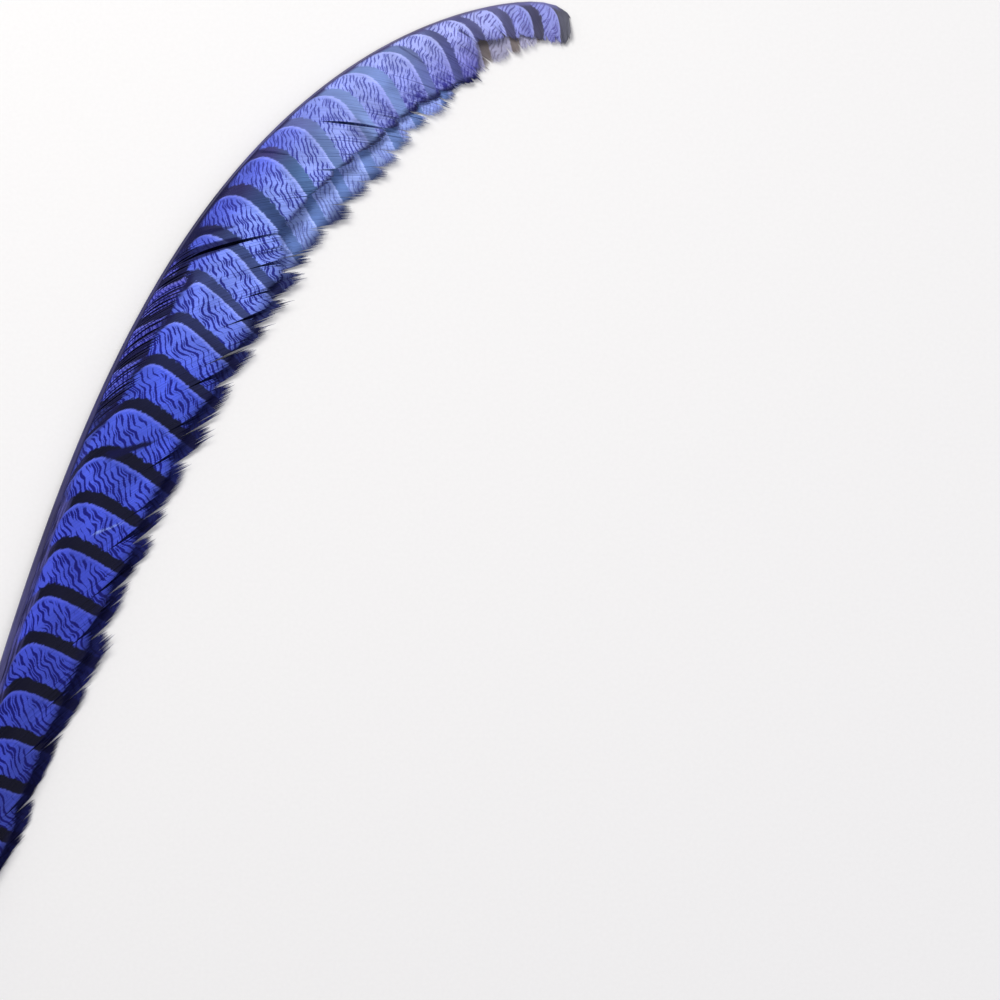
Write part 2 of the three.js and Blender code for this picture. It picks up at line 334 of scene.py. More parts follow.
def joinStrands(name, path, up, halfWidth, ridge, notes, columns):
    # thin three-sided strands in one mesh: path and up are strands x rings x 3, and notes are named
    # vectors kept at each ring for the materials
    count, rings = path.shape[:2]
    ahead = np.gradient(path, axis=1)
    ahead /= np.linalg.norm(ahead, axis=-1, keepdims=True) + 1e-12
    side = np.cross(up, ahead)
    side /= np.linalg.norm(side, axis=-1, keepdims=True) + 1e-12
    top = np.cross(ahead, side)
    points = np.stack([path - side * halfWidth[..., None], path + top * ridge[..., None],
                       path + side * halfWidth[..., None]], axis=2)
    first = (np.arange(count)[:, None] * rings + np.arange(rings - 1)) * 3
    quads = []
    for a, b in ((0, 1), (1, 2), (2, 0)):
        quads.append(np.stack([first + a, first + b, first + 3 + b, first + 3 + a], axis=-1))
    quads = np.stack(quads, axis=2).reshape(-1, 4)
    start = np.arange(count) * rings * 3
    end = start + (rings - 1) * 3
    startCaps = np.stack([start + 2, start + 1, start], -1)
    endCaps = np.stack([end, end + 1, end + 2], -1)
    caps = np.concatenate([startCaps, endCaps])
    corners = np.concatenate([quads.ravel(), caps.ravel()])
    sizes = np.concatenate([np.full(len(quads), 4), np.full(len(caps), 3)])

    mesh = bpy.data.meshes.new(name)
    mesh.vertices.add(count * rings * 3)
    mesh.vertices.foreach_set("co", points.astype(np.float32).ravel())
    mesh.loops.add(len(corners))
    mesh.loops.foreach_set("vertex_index", corners.astype(np.int32))
    mesh.polygons.add(len(sizes))
    mesh.polygons.foreach_set("loop_start", np.concatenate([[0], np.cumsum(sizes)[:-1]]).astype(np.int32))
    mesh.update(calc_edges=True)
    mesh.polygons.foreach_set("use_smooth", np.ones(len(sizes), bool))

    for note, values in notes.items():
        layer = mesh.attributes.new(note, "FLOAT_VECTOR", "POINT")
        layer.data.foreach_set("vector", np.repeat(values.astype(np.float32), 3, axis=1).ravel())

    # a strip of the bake map for each strand, with a little room round it
    rows = math.ceil(count / columns)
    number = np.arange(count)
    alongStrip = (number % columns)[:, None] + 0.02 + 0.96 * np.linspace(0, 1, rings)
    acrossStrip = (number // columns)[:, None] + np.array([0.12, 0.5, 0.88])
    spots = np.empty((count, rings, 3, 2), np.float32)
    spots[..., 0] = (alongStrip / columns)[:, :, None]
    spots[..., 1] = (acrossStrip / rows)[:, None, :]
    spots = spots.reshape(-1, 2)[corners]
    spots[len(quads) * 4 + 1::3, 0] += 0.3 / columns / rings  # the end caps keep a little width
    mesh.uv_layers.new(name="OFBake").uv.foreach_set("vector", spots.ravel())

    form = bmesh.new()
    form.from_mesh(mesh)
    if form.calc_volume(signed=True) < 0:
        bmesh.ops.reverse_faces(form, faces=form.faces)
        form.to_mesh(mesh)
    form.free()
    piece = bpy.data.objects.new(name, mesh)
    bpy.context.collection.objects.link(piece)
    print(f"{name}: {count} strands, {len(quads) * 2 + len(caps)} triangles")
    return piece


def finishPiece(piece, material):
    piece.data.materials.append(material)
    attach(piece, "root")
    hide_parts("feather")


finish = {
    # where along the shaft, and the barbs' colour there: inner near it, outer towards the edge
    "groundInner": [
        (0.2, "#3e4cc4"), (0.45, "#4d5cda"), (0.52, "#5467e4"), (0.61, "#5569e7"), (0.69, "#5b6be3"),
        (0.76, "#6c7beb"), (0.82, "#a4b3fc"), (0.87, "#b2bdff"), (0.93, "#bac2ff"), (0.965, "#9fa7ee"),
        (1.0, "#9ca0e4")],
    "groundOuter": [
        (0.2, "#3a469c"), (0.45, "#4656d4"), (0.52, "#5064e0"), (0.59, "#556beb"), (0.65, "#8096fc"),
        (0.72, "#93aaff"), (0.8, "#a6b6fc"), (0.87, "#a4aefa"), (0.92, "#9494e0"), (1.0, "#a0a4e4")],
    "lines": [
        (0.2, "#121068"), (0.45, "#131378"), (0.6, "#1b1d88"), (0.7, "#2b2f98"), (0.76, "#4147aa"),
        (0.8, "#4f56b4"), (0.87, "#626abe"), (0.93, "#6968b6"), (1.0, "#706eb8")],
    # the bars' lighter grey-blue from about 0.65 to 0.9 along is painted sheen over their near-black
    "barsInnerWithSheen": [
        (0.2, "#0f0e22"), (0.55, "#11122e"), (0.67, "#1c1e48"), (0.76, "#433f78"), (0.79, "#6f7ab8"),
        (0.83, "#869ed8"), (0.86, "#7e94d0"), (0.885, "#6e78a8"), (0.91, "#54568c"), (0.935, "#6a6c9c"),
        (0.975, "#4c4a66"), (1.0, "#6e6f7b")],
    "barsOuterWithSheen": [
        (0.2, "#0e0d20"), (0.55, "#121330"), (0.62, "#262b56"), (0.67, "#46528a"), (0.73, "#405689"),
        (0.765, "#5c7cb0"), (0.8, "#7e95ce"), (0.83, "#8ca4de"), (0.86, "#8098d4"), (0.885, "#6872b0"),
        (0.91, "#525690"), (0.96, "#524f70"), (1.0, "#6e6f7b")],
    # the dark root's colour: its own dusky tone, and painted shade where the far vane lies under the near
    # vane and between loose strands
    "rootTintAndShade": [
        (0.53, "#1b1a4c"), (0.73, "#1b1a4c"), (0.8, "#3b3868"), (0.87, "#565284"), (0.94, "#6c6a98"),
        (0.98, "#7c7cb8"), (1.0, "#6a6878")],
    "lane": "#a8c0ff",
    "laneBars": "#7391d2",
    "strand": "#7070e4",
    "rootTaupe": "#26244c",
    "rootStreak": "#5c5ba6",
    # painted shade: dark navy at the vanes' edges, in the partings and on the far vane where the near vane
    # covers it
    "paintedShade": "#131447",
    "mottle": "#38349a",
    "pale": "#ceccea",
    "paleLines": "#a09bbc",
    "paleBars": "#8f8584",
    "barEdge": 0.02,  # softness of a bar's edge, as a share of the distance between bars
    "ragged": 0.11,  # how far the bar's side towards the tip wanders, in the same measure
    # the two sets of strokes: shift, where a stroke starts and is full in the noise, and half its width
    "strokes": [(0.0, 0.29, 0.52, 0.26), (0.5, 0.52, 0.7, 0.17)],
}


def barbMaterial():
    # Keratin barbs, bleached in their pale parts and acid dyed: a soft satin that is never glossy.
    # Its colour also holds painted shade and a painted sheen on the bars, laid in below.
    material, tree, surface = newMaterial("dyed keratin barbs with painted shade and sheen")
    add = partial(addNode, tree)
    smooth = {"interpolation_type": "SMOOTHSTEP"}
    flat = {"noise_dimensions": "2D"}
    rgba = {"data_type": "RGBA"}
    times = {"operation": "MULTIPLY"}
    minus = {"operation": "SUBTRACT"}
    plan, bars, marks, shades = [
        add("SeparateXYZ", add("Attribute", attribute_name=name).node.outputs["Vector"]).node.outputs
        for name in ("plan", "bars", "marks", "shades")
    ]
    station, across, mottle = plan
    barNumber, barHalf, lane = bars
    acrossBarbs, alongBarb, own = marks
    rootTintAndShade, paintedShade, paleShare = shades

    # the ground and the bars change colour along the feather and across each vane
    along = add("Math", station, feather["length"], operation="DIVIDE")
    outward = add("MapRange", across, 5.0, 19.0, 0.0, 1.0, **smooth)
    ramps = {name: add("ValToRGB", along, stops=finish[name])
             for name in ("groundInner", "groundOuter", "lines", "barsInnerWithSheen", "barsOuterWithSheen", "rootTintAndShade")}
    ground = add("Mix", outward, ramps["groundInner"], ramps["groundOuter"], **rgba)
    dark = add("Mix", outward, ramps["barsInnerWithSheen"], ramps["barsOuterWithSheen"], **rgba)
    ground = add("Mix", lane, ground, linear(finish["lane"]), **rgba)
    dark = add("Mix", lane, dark, linear(finish["laneBars"]), **rgba)
    unzipped = add("MapRange", lane, -0.7, -0.3, 1.0, 0.0)  # the lane is below 0 on the loose strands
    strand = add("Math", unzipped, add("MapRange", station, 306.0, 346.0, 0.25, 0.8), **times)
    ground = add("Mix", strand, ground, linear(finish["strand"]), **rgba)

    # bars: each is crisp on the side towards the quill and ragged on the side towards the tip
    spot = add("CombineXYZ", acrossBarbs, alongBarb)
    side = add("Math", add("Math", barNumber, 0.5, operation="ADD"), operation="FRACT")
    side = add("Math", side, 0.5, **minus)
    rough = add("TexNoise", ("Vector", spot), ("Scale", 1.1), ("Detail", 2.0), **flat)
    rough = add("Math", rough, 0.5, **minus)
    wander = add("MapRange", side, -0.02, 0.02, 0.25 * finish["ragged"], finish["ragged"], **smooth)
    reach = add("Math", rough, wander, barHalf, operation="MULTIPLY_ADD")
    before = add("Math", add("Math", side, operation="ABSOLUTE"), reach, **minus)
    bar = add("MapRange", before, -finish["barEdge"], finish["barEdge"], 1.0, 0.0, **smooth)

    # a plain, paler rim lies along each bar's crisp side
    towardsQuill = add("MapRange", side, -0.02, 0.02, 1.0, 0.0, **smooth)
    rim = add("MapRange", before, 0.02, 0.075, 1.0, 0.0, **smooth)
    rim = add("Math", towardsQuill, rim, **times)
    rim = add("Math", rim, add("MapRange", station, 250.0, 400.0, 0.35, 0.9, **smooth), **times)
    rim = add("Math", rim, add("MapRange", station, 430.0, 480.0, 1.0, 0.5, **smooth), **times)
    plain = add("MapRange", before, 0.05, 0.14, 1.0, 0.0, **smooth)
    plain = add("Math", towardsQuill, plain, **times)
    paler = add("HueSaturation", ("Color", ground), ("Saturation", 0.9), ("Value", 1.18))
    ground = add("Mix", rim, ground, paler, **rgba)

    # fine wavy strokes across the barbs, 1.5 to 2.5 mm apart, each tapered at its ends
    bend = add("CombineXYZ", acrossBarbs, add("Math", alongBarb, 0.45, **times))
    bend = add("TexNoise", ("Vector", bend), ("Scale", 0.34), ("Detail", 1.0), **flat)
    bend = add("Math", bend, add("MapRange", station, 330.0, 430.0, 2.7, 1.9), **times)
    lineNumber = add("Math", alongBarb, bend, operation="ADD")
    strokes = []
    for shift, start, full, halfWidth in finish["strokes"]:
        number = add("Math", lineNumber, shift, operation="ADD")
        seed = add("Math", add("Math", number, operation="FLOOR"), 7.31, **times)
        ends = add("CombineXYZ", add("Math", acrossBarbs, 0.42, **times), seed)
        ends = add("TexNoise", ("Vector", ends), ("Scale", 1.0), ("Detail", 1.0), **flat)
        half = add("MapRange", ends, start, full, 0.0, halfWidth)
        off = add("Math", add("Math", number, operation="FRACT"), 0.5, **minus)
        off = add("Math", add("Math", off, operation="ABSOLUTE"), half, **minus)
        strokes.append(add("MapRange", off, -0.1, 0.03, 1.0, 0.0, **smooth))
    line = add("Math", *strokes, operation="MAXIMUM")
    line = add("Math", line, add("Math", 1.0, plain, **minus), **times)

    # beads of pale along the unzipped strands
    bead = add("Math", add("Math", alongBarb, 1.25, **times), operation="FRACT")
    bead = add("Math", add("Math", bead, 0.5, **minus), operation="ABSOLUTE")
    bead = add("Math", add("MapRange", bead, 0.06, 0.22, 0.85, 0.0, **smooth), unzipped, **times)
    line = add("Math", line, bead, operation="MAXIMUM")
    line = add("Math", line, add("MapRange", lane, 0.0, 1.0, 0.97, 0.4), **times)

    # each barb took the dye a little differently
    dye = add("MapRange", own, 0.0, 1.0, 0.93, 1.06)
    blotch = add("TexNoise", ("Vector", spot), ("Scale", 0.16), ("Detail", 1.0), **flat)
    dye = add("Math", dye, add("MapRange", blotch, 0.3, 0.7, 0.87, 1.13), **times)

    colour = add("Mix", line, ground, ramps["lines"], **rgba)
    spots = add("TexNoise", ("Vector", spot), ("Scale", 0.8), ("Detail", 2.0), **flat)
    spots = add("Math", mottle, add("MapRange", spots, 0.4, 0.64, 0.18, 0.9, **smooth), **times)
    colour = add("Mix", spots, colour, linear(finish["mottle"]), **rgba)
    colour = add("Mix", bar, colour, dark, **rgba)
    pale = add("Mix", line, linear(finish["pale"]), linear(finish["paleLines"]), **rgba)
    pale = add("Mix", bar, pale, linear(finish["paleBars"]), **rgba)
    colour = add("Mix", paleShare, colour, pale, **rgba)

    # dark near the shaft: the root's own taupe with streaks that run along it, and painted shade where the
    # far vane lies under the near vane and between the loose strands
    streak = add("CombineXYZ", add("Math", station, 0.07, **times), across)
    streak = add("TexNoise", ("Vector", streak), ("Scale", 1.3), ("Detail", 3.0), **flat)
    streak = add("MapRange", streak, 0.38, 0.66, 0.0, 1.0)
    taupe, violet = linear(finish["rootTaupe"]), linear(finish["rootStreak"])
    taupe = add("Mix", streak, taupe, violet, **rgba)
    dusk = add("MapRange", station, 265.0, 300.0, 0.0, 1.0, **smooth)
    dusk = add("Mix", dusk, taupe, ramps["rootTintAndShade"], **rgba)
    colour = add("Mix", rootTintAndShade, colour, dusk, **rgba)
    # painted shade at the edges, in the partings and on the far vane under the near vane
    colour = add("Mix", paintedShade, colour, linear(finish["paintedShade"]), **rgba)
    colour = add("HueSaturation", ("Color", colour), ("Value", dye))
    tree.links.new(colour, surface.inputs["Base Color"])
    surface.inputs["Roughness"].default_value = 0.55
    surface.inputs["Specular IOR Level"].default_value = 0.12
    surface.inputs["Sheen Weight"].default_value = 0.03
    surface.inputs["Sheen Roughness"].default_value = 0.4
    return material


barbsDyedAndShaded = barbMaterial()

# the barbs of both vanes and their pattern, with sizes listed by station
barbs = {
    "spacing": 0.34,  # from one barb to the next, square to them: a little coarser than real
    "overlap": 1.45,  # a barb's width against the spacing
    "ridge": 0.11,
    "lowest": 0.2,
    "rings": (30, 24),  # along each barb of the near and the far vane
    "rootStep": 0.05,  # how finely the shaft is followed
    "pastTip": (6, 4),  # how far past the shaft the section and the barbs may run
    "taper": (0.14, 0.1, 0.6, 0.1),  # share of a barb that tapers, less on a blunt edge, power, end's width
    "blunt": (372, 395, 488, 503),  # where the near vane's edge is blunt
    "tidy": (358, 372, 470, 485, 0.75),  # where it is straight, and how much straighter
    "paleTip": (512, 525, 0.45),  # where the far vane turns pale and thin
    "level": 15,  # this far in, a bar is at its own station
    "arch": [  # how far bars bend to the quill near the shaft
        (100, 12), (300, 12), (334, 8.5), (392, 8.5), (409, 9.5), (445, 9.5), (480, 11.5), (509, 9),
        (536, 6.5), (547, 5.5)],
    "archReach": [
        (100, 2.6), (256, 2.6), (275, 3.6), (295, 4.2), (316, 3.1), (334, 2.5), (372, 2.2), (390, 3.5),
        (409, 4.6), (445, 4.1), (480, 4.7), (509, 4.5), (530, 4), (547, 3)],
    "fall": [(100, 3), (300, 4), (409, 5), (445, 4), (480, 2), (509, 1), (550, 0)],  # the same at the edge
    "barThickness": [
        (100, 5.2), (300, 5.2), (350, 4.6), (388, 4.6), (409, 5.8), (445, 5.0), (480, 5.0), (509, 3.8),
        (536, 4.0), (550, 4.2), (560, 5.0)],
    "linePitch": [
        (100, 2.5), (290, 2.4), (335, 2.1), (365, 1.95), (400, 1.8), (440, 1.6), (500, 1.5), (550, 1.7)],
    "lineLean": [
        (100, 0.28), (260, 0.28), (345, 0.14), (410, 0), (470, -0.15), (515, -0.3), (535, -0.7),
        (556, -0.9)],
    "webStart": [  # how far in the barbs first hold together
        (84, 4.5), (262, 4.4), (290, 4.2), (306, 7.0), (320, 9.8), (366, 11.0), (372, 7.5), (380, 3.2),
        (392, 2.2), (430, 1.2), (540, 0.9)],
    "tightening": [(84, 1), (350, 1), (372, 0.2), (500, 0.2), (520, 0.25)],  # of the notches
    "rounding": [(84, 1.6), (300, 1.6), (380, 2.0), (400, 0.8), (550, 0.5)],  # of each pale field's corners
}
tufts = {
    "perVane": 90,
    "starts": (0.76, 0.95),  # how far out they part
    "gaps": (0.3, 1.1),
    "lift": (0.28, 0.05),  # of a whole tuft, and of a single barb
    "raggedness": (0.012, 0.014),  # of barbs and of tufts
    "strays": (0.05, 0.01, 0.06),  # how many barbs are longer, and by how much
}
# barbs of the near vane that came unzipped and stand in strands
loose = {
    "roots": (298, 312, 370, 384),  # where they begin, are all loose, hold again and end
    "ahead": 6,
    "shown": (302, 314, 368, 378),  # the same for their pattern
    "pitch": 2.95,
    "waves": (0.9, 0.9, 0.5, 2.3),  # size and pace of two waves that make them unlike
    "gap": 1.9,
    "upTo": 0.33,  # as a share of a barb's length
    "lift": 0.3,
    "sides": (0.45, 0.85),  # where a strand's paleness fades into the painted shade of the gaps between strands
    "slipped": (7.0, -0.7, 1.3),  # of their bars: in all, by arch and by distance in
}
# where a vane darkens, mostly with painted shade: where that begins and is full, and how dark it is
farDusk = {
    "edge": (0.88, 1.0, 0.75),  # in shares of its width
    "farOut": (35.5, 41, 0.88),
    "quillward": (402, 386, 0.88),
    "root": (1.0, 2.5),
    "behindStrands": (13, 16),
    "lane": (386, 404, 505, 520, 0.72),  # clearer blue past the near vane's edge
}
nearDusk = {
    "crisp": (390, 425),  # here the edge's painted shade narrows to a thin dark line, a painted shadow under the edge
    "edge": (0.84, 1.02, 0.62),
    "crispEdge": (0.08, -0.06, 0.26),  # what that adds to the three
    "edgeEnds": (516, 524),
    "mottle": (452, 484, 517, 522),
    "mottleIn": (17, 23),
    "web": (-0.5, 0.7),  # before and past the start of the web
    "strip": (-1.4, -0.4, 0.8, 2.2),  # strands show from the shaft to short of the web
    "stripLight": 0.92,
    "between": (268, 280, 296, 306, 0.6),  # a less dark stretch
    "betweenIn": (2.2, 3.0),
}
smallMarks = {
    # station and distance in at both ends, width, strength
    # partings: painted shade along the splits where barbs part
    "partings": [
        (292, 13, 304.5, 27, 2.4, 1.0), (424, 2.5, 431, 12, 0.8, 0.8), (491, 2.5, 499, 16, 0.5, 0.45),
        (515.5, 6, 519.5, 10.5, 0.7, 0.7), (371, 2.5, 392, 18.5, 3.6, 0.93), (383, 2.5, 395, 14, 1.6, 0.7),
        (432, 27, 440, 36, 0.5, 0.5), (306, 2.5, 318, 11, 2.2, 0.4), (458, 18.5, 462, 29, 5.5, 0.3)],
    "paleHair": (262.5, 19, 270, 27.5, 0.6, 0.7),
}


def parted(roots, shares, edges, starts, gaps, torn):
    # how far each barb is pushed along the shaft where its lock parts from its neighbours
    left = np.clip(np.searchsorted(edges, roots, side="right") - 1, 0, len(edges) - 2)
    position = np.clip((roots - edges[left]) / (edges[left + 1] - edges[left]), 0, 1)[:, None]
    pushed = np.zeros((len(roots), len(shares)))
    bulge, width, soon = locks["tear"]
    for edge, sign, near in ((left, 1, 1 - position), (left + 1, -1, position)):
        opening = np.clip((shares - starts[edge][:, None]) / (1 - starts[edge][:, None]), 0, 1)
        split = bulge * np.sin(np.pi * opening) + width * np.minimum(opening * soon, 1)
        split = torn[edge][:, None] * split
        wide = np.where(split > 0, split, gaps[edge][:, None] * opening)
        pushed += sign * wide / 2 * near ** 3
    return pushed, 2 * position[:, 0] - 1


def nearMark(stations, across, mark):
    # full strength on the short straight mark, 0 away from it, narrower towards its end
    fromStation, fromAcross, toStation, toAcross, width, strength = mark
    run = np.array([toStation - fromStation, toAcross - fromAcross], float)
    length = np.linalg.norm(run)
    run /= length
    ahead = (stations - fromStation) * run[0] + (across - fromAcross) * run[1]
    aside = np.abs((stations - fromStation) * run[1] - (across - fromAcross) * run[0])
    width = width * (1.35 - 0.9 * np.clip(ahead / length, 0, 1))
    taper = during(-0.8, 0.8, length - 1.5, length + 0.5, ahead)
    return strength * taper * (1 - ease(width * 0.4, width * 0.75, aside))


def placeRoots(vane):
    # roots stand closer where the barbs leave the shaft more squarely, and strokes are counted on the way
    step = barbs["rootStep"]
    fine = np.arange(vane["from"], vane["to"], step)
    angle = barbAngle(fine)
    number = np.cumsum(np.sin(angle)) * step / barbs["spacing"]
    roots = np.interp(np.arange(1, int(number[-1])), number, fine)
    pitch = sizeAt(barbs["linePitch"], fine)
    lean = sizeAt(barbs["lineLean"], fine)
    lineAcross = np.cumsum(np.sin(angle) / pitch) * step
    lineAlong = np.cumsum((np.cos(angle) - lean * np.sin(angle)) / pitch) * step
    return roots, np.interp(roots, fine, lineAcross), np.interp(roots, fine, lineAlong)


def partTufts(vane, roots, shares, edges):
    # each lock parts again into small tufts near its tip, and tufts and barbs lift a little
    extra = vane["from"] + (vane["to"] - vane["from"]) * chance.random(tufts["perVane"])
    tuftEdges = np.sort(np.concatenate([edges, extra]))
    starts = chance.uniform(*tufts["starts"], len(tuftEdges))
    gaps = chance.uniform(*tufts["gaps"], len(tuftEdges))
    pushed = parted(roots, shares, tuftEdges, starts, gaps, np.zeros(len(tuftEdges)))[0]
    tuft = np.searchsorted(tuftEdges, roots)
    tuftLift, barbLift = tufts["lift"]
    lift = (chance.normal(0, tuftLift, len(tuftEdges) + 1)[tuft][:, None] * shares ** 3
            + chance.normal(0, barbLift, len(roots))[:, None] * shares)
    return pushed, lift, tuft, len(tuftEdges) + 1


def partStrands(amount, roots, shares):
    # how far loose barbs are pushed and lifted, and how pale each is in its strand, against the painted shade
    # in the gaps
    size, pace, smaller, faster = loose["waves"]
    strand = (roots + size * np.sin(roots * pace) + smaller * np.sin(roots * faster)) / loose["pitch"]
    inStrand = 2 * (strand % 1) - 1
    bulge = np.sin(np.pi * np.clip(shares / loose["upTo"], 0, 1))
    pushed = amount[:, None] * loose["gap"] / 2 * inStrand[:, None] * bulge
    lifts = chance.normal(0, loose["lift"], int(strand.max()) + 2)[strand.astype(int)]
    return pushed, (amount * lifts)[:, None] * bulge, (1 - ease(*loose["sides"], np.abs(inStrand)))[:, None]


def raggedLengths(roots, tuft, tuftCount, isFar):
    # how much longer or shorter each barb is than the vane's smooth edge makes it
    count = len(roots)
    single, together = tufts["raggedness"]
    ragged = 1 + chance.normal(0, single, count) + chance.normal(0, together, tuftCount)[tuft]
    share, least, most = tufts["strays"]
    stray = chance.random(count) < share
    ragged = np.where(stray, ragged + chance.uniform(least, most, count), ragged)
    if not isFar:
        *stretch, straighter = barbs["tidy"]
        ragged = 1 + (ragged - 1) * (1 - straighter * during(*stretch, roots))
    return ragged


def barbTaper(roots, shares, isFar):
    share, less, power, end = barbs["taper"]
    blunt = np.zeros(len(roots)) if isFar else during(*barbs["blunt"], roots)
    return np.clip((1 - shares) / (share - less * blunt)[:, None], 0, 1) ** power * (1 - end) + end


def layBars(vane, unmoved, across, unzipped):
    # which bar each point is at, and half its thickness in the same count
    arch, reach, fall, webStart = [
        sizeAt(barbs[name], unmoved) for name in ("arch", "archReach", "fall", "webStart")
    ]
    level = barbs["level"]
    bow = arch * (np.exp((webStart - level) / reach) - np.exp((webStart - np.maximum(across, 0.5)) / reach))
    bow = bow - fall * ((across / (2 * level)) ** 2 - 0.25)
    slip, perArch, slant = loose["slipped"]
    slanted = perArch * arch - (webStart - across) * slant + slip
    bow = np.where((across < webStart) & (unzipped > 0.5), slanted, bow)
    places = np.array(vane["barStations"], float)
    barNumber = np.interp(unmoved - bow, places, np.arange(len(places)))
    apart = np.interp(unmoved - bow, places[:-1] + np.diff(places) / 2, np.diff(places))
    return barNumber, sizeAt(barbs["barThickness"], unmoved) / 2 / apart


def shade(limits, value):
    start, full, depth = limits
    return depth * ease(start, full, value)


def shadeFar(unmoved, across, outShare, amount, paleTip):
    # painted shade at the edge, far out, under the near vane, near the shaft and behind the loose strands,
    # and the lane of clearer blue past the near vane's edge
    paintedShade = np.maximum(shade(farDusk["edge"], outShare), shade(farDusk["farOut"], across))
    paintedShade = np.maximum(paintedShade, shade(farDusk["quillward"], unmoved)) * (1 - paleTip)
    behind = amount[:, None] * (1 - ease(*farDusk["behindStrands"], across))
    rootTintAndShade = np.maximum(1 - ease(*farDusk["root"], across), behind)
    start, full, fading, gone, strength = farDusk["lane"]
    lane = strength * ease(start, full, unmoved) * (1 - ease(fading, gone, unmoved))
    return rootTintAndShade, paintedShade, lane, np.zeros_like(unmoved)


def shadeNear(unmoved, across, outShare, corner, unzipped, strandLight):
    # painted shade at the edge, narrowing to a painted shadow line where the edge is crisp, and in the
    # partings below
    crisp = ease(*nearDusk["crisp"], unmoved)
    start, full, depth = [soft + more * crisp for soft, more in zip(nearDusk["edge"], nearDusk["crispEdge"])]
    paintedShade = ease(start, full, outShare) * depth * (1 - ease(*nearDusk["edgeEnds"], unmoved))
    start, full, fading, gone = nearDusk["mottle"]
    mottle = ease(*nearDusk["mottleIn"], across) * ease(start, full, unmoved)
    mottle = mottle * (1 - ease(fading, gone, unmoved))

    # dark near the shaft, with each pale field's corners rounded off: the root's own tone, with painted shade
    # left in the gaps between loose strands
    webStart = sizeAt(barbs["webStart"], unmoved)
    webEdge = webStart + sizeAt(barbs["rounding"], unmoved) * np.minimum(corner, 1) ** 5
    before, past = nearDusk["web"]
    rootTintAndShade = 1 - ease(webEdge + before, webEdge + past, across)
    fading, gone, start, full = nearDusk["strip"]
    inStrip = (1 - ease(webStart + fading, webStart + gone, across)) * ease(start, full, across)
    rootTintAndShade = rootTintAndShade * (1 - nearDusk["stripLight"] * inStrip * strandLight * unzipped)
    *stretch, lighter = nearDusk["between"]
    between = during(*stretch, unmoved) * ease(*nearDusk["betweenIn"], across)
    rootTintAndShade = rootTintAndShade * (1 - lighter * between)
    for mark in smallMarks["partings"]:
        paintedShade = np.maximum(paintedShade, nearMark(unmoved, across, mark))
    lane = -inStrip * unzipped + nearMark(unmoved, across, smallMarks["paleHair"])
    return rootTintAndShade, paintedShade, lane, mottle


def makeVane(name, vane, section, isFar):
    roots, lineAcross, lineAlong = placeRoots(vane)
    angle = barbAngle(roots)
    count = len(roots)
    shares = np.linspace(0, 1, barbs["rings"][isFar]) ** 1.15

    # the barbs part into locks and tufts, and some into loose strands
    edges, starts, gaps, torn = lockEdges(vane)
    gaps = gaps * sizeAt(barbs["tightening"], edges)
    pushed, inLock = parted(roots, shares, edges, starts, gaps, torn)
    again, lift, tuft, tuftCount = partTufts(vane, roots, shares, edges)
    pushed += again
    amount = during(*loose["roots"], roots + loose["ahead"])
    if not isFar:
        again, rise, strandLight = partStrands(amount, roots, shares)
        pushed -= again
        lift = lift + rise

    # each barb runs out over the vane's section as far as the vane's edge
    reach = barbReach(vane, section, roots)
    smooth = np.convolve(np.pad(reach, 2, mode="edge"), np.ones(5) / 5, mode="valid")
    ragged = raggedLengths(roots, tuft, tuftCount, isFar)
    length = smooth * (1 - locks["point"] * np.abs(inLock) ** 2) * ragged
    distance = shares * length[:, None]
    unmoved = roots[:, None] + distance / np.tan(angle)[:, None]
    archPast, barbPast = barbs["pastTip"]
    across, height, slope = section(np.minimum(unmoved, feather["length"] + archPast), distance)
    stations = np.minimum(unmoved + pushed, feather["length"] + barbPast)
    path = place(stations, across, np.maximum(height + lift, barbs["lowest"]))
    turn = heading(stations, drooping=False)
    up = np.stack([-np.sin(slope) * np.sin(turn), np.sin(slope) * np.cos(turn), np.cos(slope)], axis=-1)
    *tip, thinner = barbs["paleTip"]
    paleTip = ease(*tip, unmoved) if isFar else np.zeros_like(unmoved)
    taper = barbTaper(roots, shares, isFar)
    halfWidth = barbs["spacing"] * barbs["overlap"] / 2 * taper * (1 - thinner * paleTip) * millimetre
    ridge = barbs["ridge"] * taper * millimetre

    # the pattern is laid on the vane before it parts, so it slips with the barbs
    unzipped = np.zeros_like(unmoved) if isFar else during(*loose["shown"], unmoved)
    barNumber, barHalf = layBars(vane, unmoved, across, unzipped)
    own = chance.random(count)
    lineNumber = distance / (np.sin(angle) * sizeAt(barbs["linePitch"], roots))[:, None]
    lineNumber = lineAlong[:, None] + lineNumber + chance.normal(0, 0.02, count)[:, None]
    barNumber = barNumber + chance.normal(0, 0.006, count)[:, None]
    outShare = across / sizeAt(vane["width"], unmoved)
    if isFar:
        rootTintAndShade, paintedShade, lane, mottle = shadeFar(unmoved, across, outShare, amount, paleTip)
    else:
        corner = np.abs(barNumber - np.floor(barNumber) - 0.5) / (0.5 - barHalf)
        rootTintAndShade, paintedShade, lane, mottle = shadeNear(unmoved, across, outShare, corner, unzipped, strandLight)
    spread = np.ones_like(unmoved)
    notes = {
        "plan": np.stack([unmoved, across, mottle], -1),
        "bars": np.stack([barNumber, barHalf, lane], -1),
        "marks": np.stack([lineAcross[:, None] * spread, lineNumber, own[:, None] * spread], -1),
        "shades": np.stack([rootTintAndShade, np.clip(paintedShade, 0, 1), paleTip], -1),
    }
    piece = joinStrands(name, path, up, halfWidth, ridge, notes, columns=3)
    finishPiece(piece, barbsDyedAndShaded)


makeVane("near_vane", nearVane, nearSection, False)
makeVane("far_vane", farVane, farSection, True)

